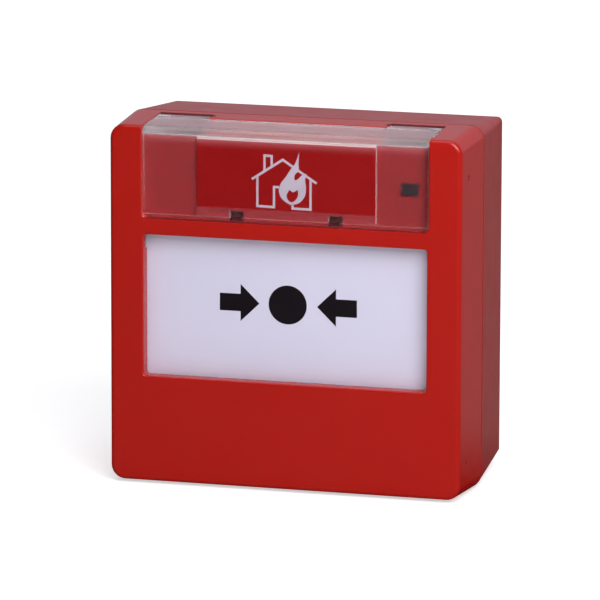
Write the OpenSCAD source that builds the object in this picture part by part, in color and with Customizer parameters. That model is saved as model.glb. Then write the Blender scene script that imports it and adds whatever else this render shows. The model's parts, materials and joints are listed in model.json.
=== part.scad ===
// Manual call point, surface mounted, resettable, single action.
// Millimetres. +Z is up, +X is to the right and the face looks along -Y.
// The origin is the centre of the back face, which lies on the wall at Y = 0.

/* [Housing] */
// Width and height of the housing at the seam between cover and back box
face_w = 87; // [86:0.1:90]
// Depth of the back box, from the wall to the seam
box_d = 28.2; // [28:0.1:32]
// Depth of the front cover, from the seam to the face
cover_d = 18.2; // [18:0.1:19]
// How far each side of the cover draws in from the seam to the face
cover_draft = 0.78; // [0.4:0.01:0.9]
// How far each side of the back box draws in from the seam to the wall
box_draft = 2.5; // [1:0.1:2.6]
// Radius of the four long corners
corner_r = 3.4; // [2.5:0.1:4]
// Thickness of the moulded walls
wall = 2.2; // [2:0.1:2.4]
// Gap left between the cover and the back box
seam_gap = 0.3; // [0.2:0.05:0.4]

/* [Operating pane] */
// Width of the opening in front of the pane
opening_w = 69; // [66:0.5:69]
// Height of the opening in front of the pane
opening_h = 34; // [32:0.5:34]
// Height of the opening's centre above the housing's centre
opening_z = -0.25; // [-0.5:0.05:0]
// How far the pane's face lies behind the cover's face
pane_recess = 3.8; // [3.8:0.1:4]
// Thickness of the pane
pane_t = 2.2; // [2:0.1:2.2]
// How far the pane goes in when it is pressed
press_travel = 2.5; // [2:0.1:2.5]

/* [Window] */
// Width of the clear window that folds over the top edge
window_w = 69.3; // [66:0.1:69.3]
// Height of the window's lower edge above the housing's centre
window_bottom = 20.9; // [20.9:0.1:21.2]
// Thickness of the clear window
window_t = 2; // [1.6:0.1:2]
// How far behind the face the window's hinge axis lies
hinge_s = 13.6; // [13:0.1:13.6]
// Radius of the barrel along the window's rear edge
barrel_r = 1.6; // [1.4:0.1:1.6]
// Distance from the middle to the inner end of each of the window's hinge ears
ear_x = 22; // [18:0.5:26]
// Width of the symbol insert behind the window
insert_w = 43.6; // [40:0.1:46]

/* [Alarm flag] */
// Height of the striped flag
flag_h = 3.25; // [2.5:0.05:3.25]
// How far the flag drops while the pane goes in
flag_drop = 3.6; // [3:0.1:3.6]

/* [Board] */
// Width of the circuit board
board_w = 60.8; // [56:0.2:60.8]
// Height of the circuit board
board_h = 74; // [72:0.5:75]
// Thickness of the circuit board
board_t = 1.6; // [1.2:0.1:1.6]
// Poles of each terminal block
poles = 4; // [2:1:4]
// Distance between terminal poles
pole_pitch = 5; // [4.8:0.1:5]

/* [Fixings] */
// Distance between the two wall screw holes
wall_hole_pitch = 60; // [50:1:60]
// Diameter of the wall screw holes
wall_hole_d = 4.5; // [4:0.1:5]
// Diameter of the cable entry in the back wall
cable_entry_d = 20.4; // [16:0.1:22]
// Diameter of the conduit knock-out in the bottom wall
conduit_d = 20.4; // [16:0.1:20.4]

/* [Hidden] */

$fn = 48;
hull_fn = 32;          // sides of the round corners inside a hull
eps = 0.01;            // thickness of a hull's end slices
over = 1;              // how far a cutting tool runs past a face
clear = 0.3;           // gap between parts that move past each other
run_fit = 0.05;        // radial clearance of a pin or a peg that turns or slides
total_d = box_d + cover_d;
half = face_w / 2;

// Y of a plane that lies s behind the cover's face
function at(s) = -total_d + s;
// half width of the cover's outside, s behind the face
function cover_half(s) = half - cover_draft * (1 - s / cover_d);
// half width of the back box's outside at a given Y
function box_half(y) = half - box_draft * (1 + y / box_d);
// points of an arc in the (Y, Z) plane, from angle a0 to a1
function arc(c, r, a0, a1, n = 8) =
    [for (i = [0:n]) c + r * [cos(a0 + (a1 - a0) * i / n), sin(a0 + (a1 - a0) * i / n)]];

// back box
knockout_groove = [0.8, 1.3];                // width and depth of the groove round the knock-out

// cover
edge_r = 1.1;                                // rounding of the face's outer edge
lug_x = 25;                                  // hinge lugs, from the middle
lug_size = [8, 3.2, 1.7];
lug_z = 39;
key_s = 12.6;                                // key barrel's axis behind the face
key_hole_d = 7.6;

// opening and pane
opening_top = opening_z + opening_h / 2;
pane_over = 0.8;                             // how far the pane reaches behind the frame
pane_w = opening_w + 2 * pane_over;
pane_h = opening_h + 2 * pane_over;
label_t = 0.2;
pane_s = pane_recess + label_t;
carrier_s = pane_s + pane_t;
carrier_t = 1;
rim_t = 1.2;                                 // rim round three sides of the opening
rim_top = 13.1;

// window
recess_gap = 0.25;
bed_t = 1.6;                                 // wall behind the window's recess
bed_x = window_w / 2 + recess_gap + 2;
bed_floor_s = 3;                             // floor behind the insert
insert_t = 0.8;
insert_step = 0.75;                          // step that the insert stands on
step_s = 1.5;
rabbet = [0.8, 0.8];                         // thinning of the window's lower edge, over the step
leaf_end_s = 11;                             // rear edge of the window between its ears
leaf_gap = 0.5;
slot_gap = 0.7;                              // open slot behind each barrel
top_floor_z = cover_half(0) - window_t - 0.3;
barrel_drop = 0.05;                          // the barrels lie just under the window's top surface
hinge_z = cover_half(hinge_s) - barrel_r - barrel_drop;
barrel_floor_z = hinge_z - barrel_r - clear;
window_corner_r = 2;
pin_r = 0.8;
pin_l = 4.5;
hook_x = 12;
hook_size = [3.6, 3.4, 1.2];
hook_slot = [4.6, 3.8];
lens_x = 29.8;
lens_z = 30.4;
lens_size = [4.2, 2.9, 3.1];

// chassis
plate_back = -24.2;
plate_t = 2.4;
plate_front = plate_back - plate_t;
plate_w = 77.2;
plate_h = 76;
screw_xz = 34.5;
boss_r = 3.5;
guide_x = 33.4;
guide_z = 10.5;
peg_r = 1.5;
guide_r = 2.6;
guide_s = 12.4;                              // front end of the guide bosses
spring_r = 2.3;
spring_wire = 0.5;
post_x = 37.7;
post_w = 2.1;
post_h = 11;
post_z = 17;
post_s = 6.9;
finger_x = 20;
finger_z = 40;

// board
board_back = plate_front - 1.2;
board_front = board_back - board_t;
standoff_x = 26;
standoff_z = 33.5;

// alarm flag
flag_s = 2.5;
flag_t = 0.8;
flag_z = opening_top + 0.3;
arm_x = 36.4;
arm_t = 1;
foot_s = 8.5;
foot_d = 3.4;
foot_w = 2.2;
peg_s = 10;
flag_peg_r = 0.7;
cheek_t = 0.9;
cheek_x = 35.2;

// microswitch
switch_size = [12.8, 6.5, 5.8];
switch_face = board_front - switch_size[1];
plunger_x = 2;
leaf_t = 0.3;
leaf_l = 12.4;
leaf_y = switch_face - 1.3;
leaf_hinge_x = -5.8;
leaf_pin_r = 0.4;

// address switches
dial_pitch = 11;
dial_x = -17;
dial_z = 29;
dial_r = 2.4;
dial_base = [8, 3.6, 8];

// terminals
terminal_z = -26;
terminal_d = 9;
terminal_h = 10;
terminal_x = 7.6;
terminal_w = poles * pole_pitch + 1;

// key barrel
barrel_top = -29;
barrel_foot = -40.3;
key_barrel_r = 3.2;
bracket_z = -38;
bracket_h = 5;

module mirror_x() {
    children();
    mirror([1, 0, 0]) children();
}

// a solid cylinder along Y, from y0 back to y1
module rod_y(r, y0, y1) {
    translate([0, y0, 0]) rotate([-90, 0, 0]) cylinder(r = r, h = y1 - y0);
}

// a solid cylinder along X, from x0 to x1
module rod_x(r, x0, x1) {
    translate([x0, 0, 0]) rotate([0, 90, 0]) cylinder(r = r, h = x1 - x0);
}

// a (Y, Z) outline drawn out to a width w along X
module along_x(w) {
    rotate([90, 0, 90]) translate([0, 0, -w / 2]) linear_extrude(w) children();
}

// a block given by its low corner and its size, mirrored to both sides by the caller
module block(low, size) {
    translate(low) cube(size);
}

// round-cornered slices [y, half width, corner radius], joined into one tapered block
module tapered_block(slices) {
    hull()
        for (slice = slices, sx = [-1, 1], sz = [-1, 1])
            translate([sx * (slice[1] - slice[2]), slice[0], sz * (slice[1] - slice[2])])
                rotate([-90, 0, 0]) cylinder(r = slice[2], h = eps, $fn = hull_fn);
}

module at_corners(d) {
    for (sx = [-1, 1], sz = [-1, 1]) translate([sx * d, 0, sz * d]) children();
}

module at_guides() {
    for (sx = [-1, 1], sz = [-1, 1]) translate([sx * guide_x, 0, sz * guide_z]) children();
}

// a pan-head screw, its head's underside at y and its shank going back
module screw(y, head_r, head_h, shank_r, shank_l) {
    difference() {
        union() {
            rod_y(head_r, y - head_h, y);
            rod_y(shank_r, y - eps, y + shank_l);
        }
        for (a = [0, 90])
            translate([0, y - head_h, 0]) rotate([0, a, 0])
                cube([head_r * 1.2, head_h * 1.1, head_r * 0.3], center = true);
    }
}

// ---- back box ----

module back_box() {
    back_wall = wall + 0.2;
    front_y = -box_d + seam_gap / 2;
    color("firebrick")
    difference() {
        union() {
            difference() {
                tapered_block([[front_y, box_half(front_y), corner_r], [-eps, box_half(0), corner_r - 1]]);
                tapered_block([
                    [front_y - eps, box_half(front_y) - wall, corner_r - 1.4],
                    [-back_wall, box_half(-back_wall) - wall, corner_r - 2]
                ]);
            }
            at_corners(screw_xz) rod_y(boss_r, plate_back, -back_wall + eps);
        }
        at_corners(screw_xz) rod_y(1.25, plate_back - over, plate_back + 12);
        for (sx = [-1, 1])
            translate([sx * wall_hole_pitch / 2, 0, 0]) rod_y(wall_hole_d / 2, -back_wall - over, over);
        rod_y(cable_entry_d / 2, -back_wall - over, over);
        on_bottom_wall() translate([0, 0, -over])
            difference() {
                cylinder(r = conduit_d / 2, h = knockout_groove[1] + over);
                translate([0, 0, -over])
                    cylinder(r = conduit_d / 2 - knockout_groove[0], h = knockout_groove[1] + 3 * over);
            }
    }
}

// children are placed on the middle of the back box's bottom wall, Z square to it
module on_bottom_wall() {
    translate([0, -box_d / 2, -box_half(-box_d / 2)]) rotate([atan(box_draft / box_d), 0, 0]) children();
}

// ---- chassis ----

module flag_guide() {
    groove_s = 8.2;
    groove_d = 4;
    groove_w = 1.2;
    difference() {
        block([post_x, at(post_s), post_z - post_h / 2], [post_w, plate_front + eps - at(post_s), post_h]);
        block([post_x - over, at(groove_s), post_z - post_h], [groove_w + over, groove_d, 2 * post_h]);
    }
}

module chassis() {
    window = [36, 12];
    finger = [6, 9.4, finger_z - plate_h / 2 + 0.2];
    color("whitesmoke")
    difference() {
        union() {
            block([-plate_w / 2, plate_front, -plate_h / 2], [plate_w, plate_t, plate_h]);
            at_guides() rod_y(guide_r, at(guide_s), plate_front + eps);
            for (sx = [-1, 1], sz = [-1, 1])
                translate([sx * standoff_x, 0, sz * standoff_z]) rod_y(2.4, board_back, plate_front + eps);
            mirror_x() flag_guide();
            // bracket that carries the key barrel
            block([-6, at(key_s) - 5, bracket_z], [12, plate_front - at(key_s) + 5 + eps, bracket_h]);
            // sprung fingers that hold the cover's lower edge
            for (sx = [-1, 1])
                block([sx * finger_x - finger[0] / 2, plate_front - finger[1], -finger_z],
                      [finger[0], finger[1] + plate_t, finger[2]]);
        }
        at_corners(screw_xz) rod_y(1.6, plate_front - over, plate_back + over);
        at_guides() rod_y(peg_r + run_fit, at(guide_s) - over, plate_back + over);
        for (sx = [-1, 1], sz = [-1, 1])
            translate([sx * standoff_x, 0, sz * standoff_z]) rod_y(0.8, board_back - over, plate_back + over);
        // openings that the field wires come through, above and below
        for (z = [-22, 22])
            block([-window[0] / 2, plate_front - over, z - window[1] / 2], [window[0], plate_t + 2 * over, window[1]]);
        translate([0, at(key_s), bracket_z - over]) cylinder(r = key_barrel_r + run_fit, h = bracket_h + 2 * over);
    }
}

module chassis_screws() {
    color("silver") at_corners(screw_xz) screw(plate_front, 2.8, 1.8, 1.25, 11);
}

// ---- board ----

module circuit_board() {
    notch = [14, 8];
    color("darkgreen")
    difference() {
        block([-board_w / 2, board_front, -board_h / 2], [board_w, board_t, board_h]);
        block([-notch[0] / 2, board_front - over, -board_h / 2 - over], [notch[0], board_t + 2 * over, notch[1] + over]);
        for (sx = [-1, 1], sz = [-1, 1])
            translate([sx * standoff_x, 0, sz * standoff_z]) rod_y(1.1, board_front - over, board_back + over);
    }
}

module board_screws() {
    color("silver")
    for (sx = [-1, 1], sz = [-1, 1])
        translate([sx * standoff_x, 0, sz * standoff_z]) screw(board_front, 1.9, 1.2, 0.8, 5);
}

// one terminal block, whose first pole is at x
module terminal_block(x) {
    front = board_front - terminal_d;
    color("seagreen")
    difference() {
        block([x, front, terminal_z - terminal_h / 2], [terminal_w, terminal_d, terminal_h]);
        for (i = [0:poles - 1])
            translate([x + 0.5 + (i + 0.5) * pole_pitch, 0, terminal_z]) {
                translate([0, 0, 1.6]) rod_y(1.9, front - over, front + 4);
                block([-1.7, front + 4.6, -terminal_h / 2 - over], [3.4, 3, 5]);
            }
    }
}

module terminal_screws() {
    front = board_front - terminal_d;
    color("silver")
    for (x = [-terminal_x - terminal_w, terminal_x], i = [0:poles - 1])
        translate([x + 0.5 + (i + 0.5) * pole_pitch, 0, terminal_z + 1.6])
            screw(front + 2.6, 1.6, 1.4, 1, 1.3);
}

module status_led() {
    color("tomato")
    translate([28.4, 0, lens_z]) {
        block([-1.5, board_front - 1, -1.5], [3, 1, 3]);
        rod_y(1.2, board_front - 2, board_front - 1 + eps);
    }
}

module controller_chip() {
    size = [9, 1.6, 9];
    color("dimgray") block([-24, board_front - size[1], -12], size);
}

module board_components() {
    color("darkgoldenrod") {
        for (x = [12, 20]) translate([x, 0, -7]) rod_y(2.5, board_front - 5, board_front);
        for (i = [0:5]) block([-24 + 4 * i, board_front - 0.8, 8], [2, 0.8, 1.2]);
        for (i = [0:4]) block([10 + 3.4 * i, board_front - 0.9, 4], [1.6, 0.9, 3.2]);
        block([14, board_front - 2.4, 24], [6, 2.4, 5]);
    }
}

// ---- microswitch ----

module at_leaf_hinge() {
    translate([leaf_hinge_x, leaf_y + leaf_t, 0]) children();
}

module microswitch_body() {
    slot = [2.4, 2.2, 2.4];
    ear = [1.6, 1.7, 0.9];
    color("black")
    difference() {
        union() {
            block([-switch_size[0] / 2, switch_face, -switch_size[2] / 2], switch_size);
            for (z = [-switch_size[2] / 2, switch_size[2] / 2 - ear[2]])
                block([leaf_hinge_x - ear[0] / 2, switch_face - ear[1], z], [ear[0], ear[1] + eps, ear[2]]);
        }
        block([plunger_x - slot[0] / 2, switch_face - eps, -slot[2] / 2], slot);
        at_leaf_hinge() cylinder(r = leaf_pin_r + run_fit, h = switch_size[2] + over, center = true);
    }
}

module switch_plunger() {
    size = [1.6, 1.4, 1.6];
    color("red") block([plunger_x - size[0] / 2, switch_face - size[1] / 2, -size[2] / 2], size);
}

module switch_leaf() {
    leaf_w = 3;
    color("silver") {
        block([leaf_hinge_x, leaf_y, -leaf_w / 2], [leaf_l, leaf_t, leaf_w]);
        at_leaf_hinge() cylinder(r = leaf_pin_r, h = switch_size[2] - 0.2, center = true);
    }
}

// ---- address switches ----

module address_switch_bodies() {
    color("gainsboro")
    for (i = [0:2])
        translate([dial_x + i * dial_pitch, 0, dial_z])
            difference() {
                block([-dial_base[0] / 2, board_front - dial_base[1], -dial_base[2] / 2], dial_base);
                rod_y(dial_r + run_fit, board_front - dial_base[1] - over, board_front - 1);
            }
}

module address_dial(i) {
    face = board_front - dial_base[1] - 0.4;
    color("orange")
    translate([dial_x + i * dial_pitch, 0, dial_z])
        difference() {
            rod_y(dial_r, face, board_front - 1 - clear);
            block([-dial_r * 0.75, face - eps, -0.35], [dial_r * 1.5, 0.8, 0.7]);
        }
}

// ---- pane ----

module pane_carrier() {
    cheek_z = [13.4, 20.9];
    switch_pocket = [13.2, 8.4];                 // leaves room for the switch's ears and leaf
    slot_r = flag_peg_r + 0.25;
    slot_a = atan2(press_travel, flag_drop);
    slot_start = [at(peg_s), flag_z + flag_h / 2];
    slot_end = slot_start - [press_travel, flag_drop];
    color("gainsboro") {
        difference() {
            block([-pane_w / 2, at(carrier_s), opening_z - pane_h / 2], [pane_w, carrier_t, pane_h]);
            block([-8, at(carrier_s) - over, -switch_pocket[1] / 2],
                  [switch_pocket[0], carrier_t + 2 * over, switch_pocket[1]]);
        }
        at_guides() rod_y(peg_r, at(carrier_s + carrier_t) - eps, plate_back);
        // rib that works the microswitch's leaf
        block([5.6, at(carrier_s), -10], [1.4, carrier_t + 0.25, 20]);
        // foot that the key barrel's pin pushes forward
        block([-4, at(carrier_s), -30], [8, carrier_t, 13]);
        // cheeks whose sloping slots drive the flag
        mirror_x()
        difference() {
            block([cheek_x - 0.5, at(carrier_s), cheek_z[0]], [cheek_t + 0.5, 6, cheek_z[1] - cheek_z[0]]);
            translate([cheek_x, 0, 0]) along_x(4 * cheek_t)
                polygon(concat(arc(slot_start, slot_r, -slot_a, 180 - slot_a),
                               arc(slot_end, slot_r, 180 - slot_a, 360 - slot_a)));
        }
    }
}

module operating_pane() {
    color("white")
    block([-pane_w / 2, at(pane_s), opening_z - pane_h / 2], [pane_w, pane_t, pane_h]);
}

module pane_label() {
    margin = 0.1;
    color("lavender")
    block([-pane_w / 2 + margin, at(pane_recess), opening_z - pane_h / 2 + margin],
          [pane_w - 2 * margin, label_t, pane_h - 2 * margin]);
}

// sleeves with the outside and inside diameters of the four return springs
module pane_springs() {
    front = at(carrier_s + carrier_t);
    color("lightsteelblue")
    at_guides()
        difference() {
            rod_y(spring_r, front, at(guide_s));
            rod_y(spring_r - spring_wire, front - over, at(guide_s) + over);
        }
}

// ---- alarm flag ----

module alarm_flag() {
    color("gold") {
        block([-arm_x - arm_t, at(flag_s), flag_z], [2 * (arm_x + arm_t), flag_t, flag_h]);
        mirror_x() {
            block([arm_x, at(flag_s), flag_z], [arm_t, foot_s - flag_s + eps, flag_h]);
            block([arm_x, at(foot_s), flag_z], [foot_w, foot_d, flag_h]);
            translate([0, at(peg_s), flag_z + flag_h / 2]) rod_x(flag_peg_r, arm_x - 1.1, arm_x + eps);
        }
    }
}

// ---- key barrel ----

module reset_barrel() {
    key_slot = [1.2, 4.4, 3];
    groove_z = bracket_z + bracket_h + 0.9;
    color("darkgray")
    translate([0, at(key_s), 0]) {
        difference() {
            translate([0, 0, barrel_foot]) cylinder(r = key_barrel_r, h = barrel_top - barrel_foot - 2);
            block([-key_slot[0] / 2, -key_slot[1] / 2, barrel_foot - eps], key_slot);
            difference() {
                translate([0, 0, groove_z]) cylinder(r = key_barrel_r + over, h = 0.7);
                translate([0, 0, groove_z - eps]) cylinder(r = key_barrel_r - 0.6, h = 1);
            }
        }
        // eccentric pin, at rest to the right of the axis
        translate([2, 0, barrel_top - 2 - eps]) cylinder(r = 0.6, h = 2.6);
    }
}

module barrel_clip() {
    groove_z = bracket_z + bracket_h + 0.9;
    color("silver")
    translate([0, at(key_s), groove_z + 0.05])
        difference() {
            cylinder(r = key_barrel_r + 1.2, h = 0.6);
            translate([0, 0, -over]) cylinder(r = key_barrel_r - 0.6 + run_fit, h = 3);
            block([-1.8, 0, -over], [3.6, 10, 3]);
        }
}

module reset_spring() {
    color("lightsteelblue")
    translate([0, at(key_s), bracket_z - 1.5])
        difference() {
            cylinder(r = key_barrel_r + 0.9, h = 1.5);
            translate([0, 0, -over]) cylinder(r = key_barrel_r + clear, h = 4);
        }
}

// ---- cover ----

// the block that the window's recess is cut out of
module window_bed() {
    low = window_bottom - recess_gap;
    under = barrel_floor_z - bed_t;
    rear = at(cover_d) - seam_gap / 2;
    along_x(2 * bed_x)
        polygon([
            [at(0) - over, low], [at(bed_floor_s + bed_t), low], [at(bed_floor_s + bed_t), under],
            [rear, under], [rear, half + over], [at(0) - over, half + over]
        ]);
}

module window_recess() {
    low = window_bottom - recess_gap;
    rear = at(hinge_s + barrel_r + slot_gap);
    barrel_front = at(leaf_end_s);
    leaf_rear = at(leaf_end_s + leaf_gap);
    top = cover_half(leaf_end_s);
    along_x(window_w + 2 * recess_gap)
        polygon([
            [at(0) - over, low], [at(step_s), low], [at(step_s), low + insert_step],
            [at(bed_floor_s), low + insert_step], [at(bed_floor_s), top_floor_z],
            [leaf_rear, top_floor_z], [leaf_rear, top - leaf_gap],
            [leaf_rear + leaf_gap + over, top + over], [at(0) - over, top + over]
        ]);
    for (sx = [-1, 1])
        translate([sx * (ear_x + window_w / 2) / 2, 0, 0])
            along_x(window_w / 2 - ear_x + 2 * recess_gap)
                polygon([
                    [barrel_front, top_floor_z], [barrel_front, barrel_floor_z], [rear, barrel_floor_z],
                    [rear, half + over], [barrel_front, half + over]
                ]);
}

module front_cover() {
    rear = at(cover_d) - seam_gap / 2;
    color("red")
    difference() {
        union() {
            difference() {
                tapered_block([
                    [rear - eps, cover_half(cover_d), corner_r],
                    [at(edge_r), cover_half(edge_r), corner_r],
                    [at(edge_r * 0.3), cover_half(0) - edge_r * 0.3, corner_r],
                    [at(0), cover_half(0) - edge_r, corner_r - edge_r * 0.5]
                ]);
                difference() {
                    tapered_block([
                        [rear + eps, cover_half(cover_d) - wall, corner_r - 1.4],
                        [at(wall), cover_half(wall) - wall, corner_r - 1.4]
                    ]);
                    window_bed();
                }
            }
            // rim round the sides and the bottom of the opening
            difference() {
                block([-opening_w / 2 - rim_t, at(wall) - eps, opening_z - opening_h / 2 - rim_t],
                      [opening_w + 2 * rim_t, rim_t, rim_top - opening_z + opening_h / 2 + rim_t]);
                block([-opening_w / 2, at(0), opening_z - opening_h / 2], [opening_w, 2 * wall, opening_h]);
            }
            // lugs that hook under the back box's top wall
            for (sx = [-1, 1])
                block([sx * lug_x - lug_size[0] / 2, rear - eps, lug_z], lug_size);
        }
        window_recess();
        block([-opening_w / 2, at(0) - over, opening_z - opening_h / 2], [opening_w, 2 * wall, opening_h]);
        // slots for the window's two hooks
        for (sx = [-1, 1])
            block([sx * hook_x - hook_slot[0] / 2, at(wall), window_bottom + 0.7], [hook_slot[0], 4, hook_slot[1]]);
        // seat of the indicator lens
        block([lens_x - lens_size[0] / 2, at(wall), lens_z - lens_size[2] / 2], [lens_size[0], 4, lens_size[2]]);
        // window hinge pins and the key's way in
        translate([0, at(hinge_s), hinge_z]) rod_x(pin_r, -bed_x - over, bed_x + over);
        translate([0, at(key_s), -half - over]) cylinder(d = key_hole_d, h = wall + 2 * over);
    }
}

module window_hinge_pins() {
    color("silver")
    mirror_x() translate([0, at(hinge_s), hinge_z]) rod_x(pin_r, bed_x - pin_l, bed_x);
}

// the L-shaped sheet of the window, with a gap between the two ears at its rear edge
module window_sheet() {
    top_front = cover_half(window_corner_r);
    difference() {
        along_x(window_w)
        polygon(concat(
            [[at(window_t), window_bottom + rabbet[1]], [at(window_t - rabbet[0]), window_bottom + rabbet[1]],
             [at(window_t - rabbet[0]), window_bottom], [at(0), window_bottom]],
            arc([at(window_corner_r), top_front - window_corner_r], window_corner_r, 180, 90),
            [[at(hinge_s), cover_half(hinge_s)], [at(hinge_s), cover_half(hinge_s) - window_t],
             [at(window_t), cover_half(window_t) - window_t]]
        ));
        block([-ear_x, at(leaf_end_s), top_front - 2 * window_t], [2 * ear_x, hinge_s, 3 * window_t]);
    }
}

module clear_window() {
    ear_w = window_w / 2 - ear_x;
    color("lightpink", 0.6)
    difference() {
        union() {
            window_sheet();
            for (sx = [-1, 1])
                translate([sx * (ear_x + ear_w / 2), at(hinge_s), hinge_z])
                    rod_x(barrel_r, -ear_w / 2, ear_w / 2);
            for (sx = [-1, 1])
                block([sx * hook_x - hook_size[0] / 2, at(window_t) - eps, window_bottom + 1.1], hook_size);
        }
        mirror_x() translate([0, at(hinge_s), hinge_z])
            rod_x(pin_r + run_fit, bed_x - pin_l - clear, window_w / 2 + over);
    }
}

module symbol_insert() {
    low = window_bottom - recess_gap + insert_step;
    color("crimson")
    difference() {
        block([-insert_w / 2, at(bed_floor_s) - insert_t, low], [insert_w, insert_t, top_floor_z - low - 0.1]);
        for (sx = [-1, 1])
            block([sx * hook_x - hook_slot[0] / 2, at(wall) - over, low - over], [hook_slot[0], 4, hook_slot[1] + over]);
    }
}

module indicator_lens() {
    color("darkslategray")
    block([lens_x - lens_size[0] / 2, at(bed_floor_s) - 0.4, lens_z - lens_size[2] / 2], lens_size);
}

back_box();
chassis();
chassis_screws();
circuit_board();
board_screws();
terminal_block(-terminal_x - terminal_w);  // terminal_block_left
terminal_block(terminal_x);  // terminal_block_right
terminal_screws();
microswitch_body();
switch_plunger();
switch_leaf();
status_led();
controller_chip();
board_components();
address_switch_bodies();
address_dial(0);  // address_dial_hundreds
address_dial(1);  // address_dial_tens
address_dial(2);  // address_dial_ones
pane_carrier();
operating_pane();
pane_label();
pane_springs();
alarm_flag();
reset_barrel();
barrel_clip();
reset_spring();
front_cover();
clear_window();
window_hinge_pins();
symbol_insert();
indicator_lens();
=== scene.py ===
"""Looks of a surface-mounted manual call point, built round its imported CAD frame.

Shapes are made in millimetres in the CAD frame (X right, Z up, the face looks along -Y)
and are scaled to metres when a piece is finished."""

import json
import math

import bmesh
import bpy
from mathutils import Matrix, Vector

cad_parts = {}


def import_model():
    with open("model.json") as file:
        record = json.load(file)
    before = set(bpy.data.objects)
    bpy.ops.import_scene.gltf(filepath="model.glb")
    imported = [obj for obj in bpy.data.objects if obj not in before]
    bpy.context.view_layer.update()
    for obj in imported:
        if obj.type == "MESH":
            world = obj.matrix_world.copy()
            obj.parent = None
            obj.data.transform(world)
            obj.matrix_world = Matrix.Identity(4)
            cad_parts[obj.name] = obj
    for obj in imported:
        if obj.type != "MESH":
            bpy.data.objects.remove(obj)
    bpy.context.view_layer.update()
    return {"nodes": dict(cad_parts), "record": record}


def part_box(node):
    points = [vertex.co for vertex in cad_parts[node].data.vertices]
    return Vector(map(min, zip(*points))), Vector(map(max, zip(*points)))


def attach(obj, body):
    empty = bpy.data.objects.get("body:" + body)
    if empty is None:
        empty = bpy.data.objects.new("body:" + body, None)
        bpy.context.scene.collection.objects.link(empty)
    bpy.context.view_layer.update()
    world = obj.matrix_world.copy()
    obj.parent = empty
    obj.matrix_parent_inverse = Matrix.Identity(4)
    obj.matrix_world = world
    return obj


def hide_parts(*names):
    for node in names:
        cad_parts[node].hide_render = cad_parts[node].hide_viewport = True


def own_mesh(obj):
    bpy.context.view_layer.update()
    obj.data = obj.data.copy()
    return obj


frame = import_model()

MM = 0.001
scene = bpy.context.scene


# ---- design sizes, as in the CAD source ----

def box_mm(node):
    """Lowest and highest corner of a CAD node, in millimetres."""
    low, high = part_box(node)
    return low / MM, high / MM


COVER_DEPTH = 18.2
COVER_DRAFT = 0.78
BOX_DEPTH = 28.2
BOX_DRAFT = 2.5
FACE_Y = box_mm("front_cover")[0].y
SEAM_Y = FACE_Y + COVER_DEPTH
WALL = 2.2
HALF = box_mm("front_cover")[1].x
SIDES = (-1, 1)
CORNERS = [(sx, sz) for sx in SIDES for sz in SIDES]


def at(s):
    """Y of a plane that lies s behind the cover's face."""
    return FACE_Y + s


def cover_half(s):
    """Half width of the cover, s behind its face."""
    return HALF - COVER_DRAFT * (1 - s / COVER_DEPTH)


def box_half(y):
    """Half width of the back box at y."""
    return HALF - BOX_DRAFT * (1 - y / SEAM_Y)


# ---- mesh helpers ----

def rounded_rect(half_x, half_z, radius, centre=(0, 0), steps=8):
    """Points (x, z) of a round-cornered rectangle."""
    points = []
    for sx, sz, start in ((1, 1, 0), (-1, 1, 90), (-1, -1, 180), (1, -1, 270)):
        for i in range(steps + 1):
            a = math.radians(start + 90 * i / steps)
            points.append((centre[0] + sx * (half_x - radius) + radius * math.cos(a),
                           centre[1] + sz * (half_z - radius) + radius * math.sin(a)))
    return points


def circle(radius, centre=(0, 0), steps=48):
    return [(centre[0] + radius * math.cos(2 * math.pi * i / steps),
             centre[1] + radius * math.sin(2 * math.pi * i / steps)) for i in range(steps)]


def to_object(bm, name="shape"):
    bmesh.ops.recalc_face_normals(bm, faces=bm.faces)
    mesh = bpy.data.meshes.new(name)
    bm.to_mesh(mesh)
    bm.free()
    made = bpy.data.objects.new(name, mesh)
    scene.collection.objects.link(made)
    return made


def loft(rings, closed=False):
    """A closed solid through rings of points of equal length; closed joins the last ring to the first."""
    bm = bmesh.new()
    rows = [[bm.verts.new(p) for p in ring] for ring in rings]
    count = len(rings[0])
    pairs = list(zip(rows, rows[1:]))
    if closed:
        pairs.append((rows[-1], rows[0]))
    for a, b in pairs:
        for i in range(count):
            j = (i + 1) % count
            bm.faces.new((a[i], a[j], b[j], b[i]))
    if not closed:
        bm.faces.new(rows[0])
        bm.faces.new(rows[-1])
    return to_object(bm)


def prism_y(outline, y0, y1):
    """An (x, z) outline drawn from y0 to y1."""
    return loft([[(x, y, z) for x, z in outline] for y in (y0, y1)])


def prism_x(outline, x0, x1):
    """A (y, z) outline drawn from x0 to x1."""
    return loft([[(x, y, z) for y, z in outline] for x in (x0, x1)])


def prism_z(outline, z0, z1):
    """An (x, y) outline drawn from z0 to z1."""
    return loft([[(x, y, z) for x, y in outline] for z in (z0, z1)])


def block(low, high):
    outline = [(low[0], low[1]), (high[0], low[1]), (high[0], high[1]), (low[0], high[1])]
    return prism_z(outline, low[2], high[2])


def turned(profile, origin, axis, steps=40):
    """A solid turned about an axis ("X", "Y" or "Z") through origin from (radius, distance) points."""
    rings = []
    for i in range(steps):
        a = 2 * math.pi * i / steps
        c, s = math.cos(a), math.sin(a)
        ring = []
        for r, d in profile:
            local = {"X": (d, r * c, r * s), "Y": (r * c, d, r * s), "Z": (r * c, r * s, d)}[axis]
            ring.append(tuple(o + v for o, v in zip(origin, local)))
        rings.append(ring)
    return loft(rings, closed=True)


def rod(radius, start, end, axis, steps=40):
    """A solid cylinder from start to end, along one axis."""
    rings = []
    for point in (start, end):
        ring = []
        for a, b in circle(radius, steps=steps):
            local = {"X": (0, a, b), "Y": (a, 0, b), "Z": (a, b, 0)}[axis]
            ring.append(tuple(o + v for o, v in zip(point, local)))
        rings.append(ring)
    return loft(rings)


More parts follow.
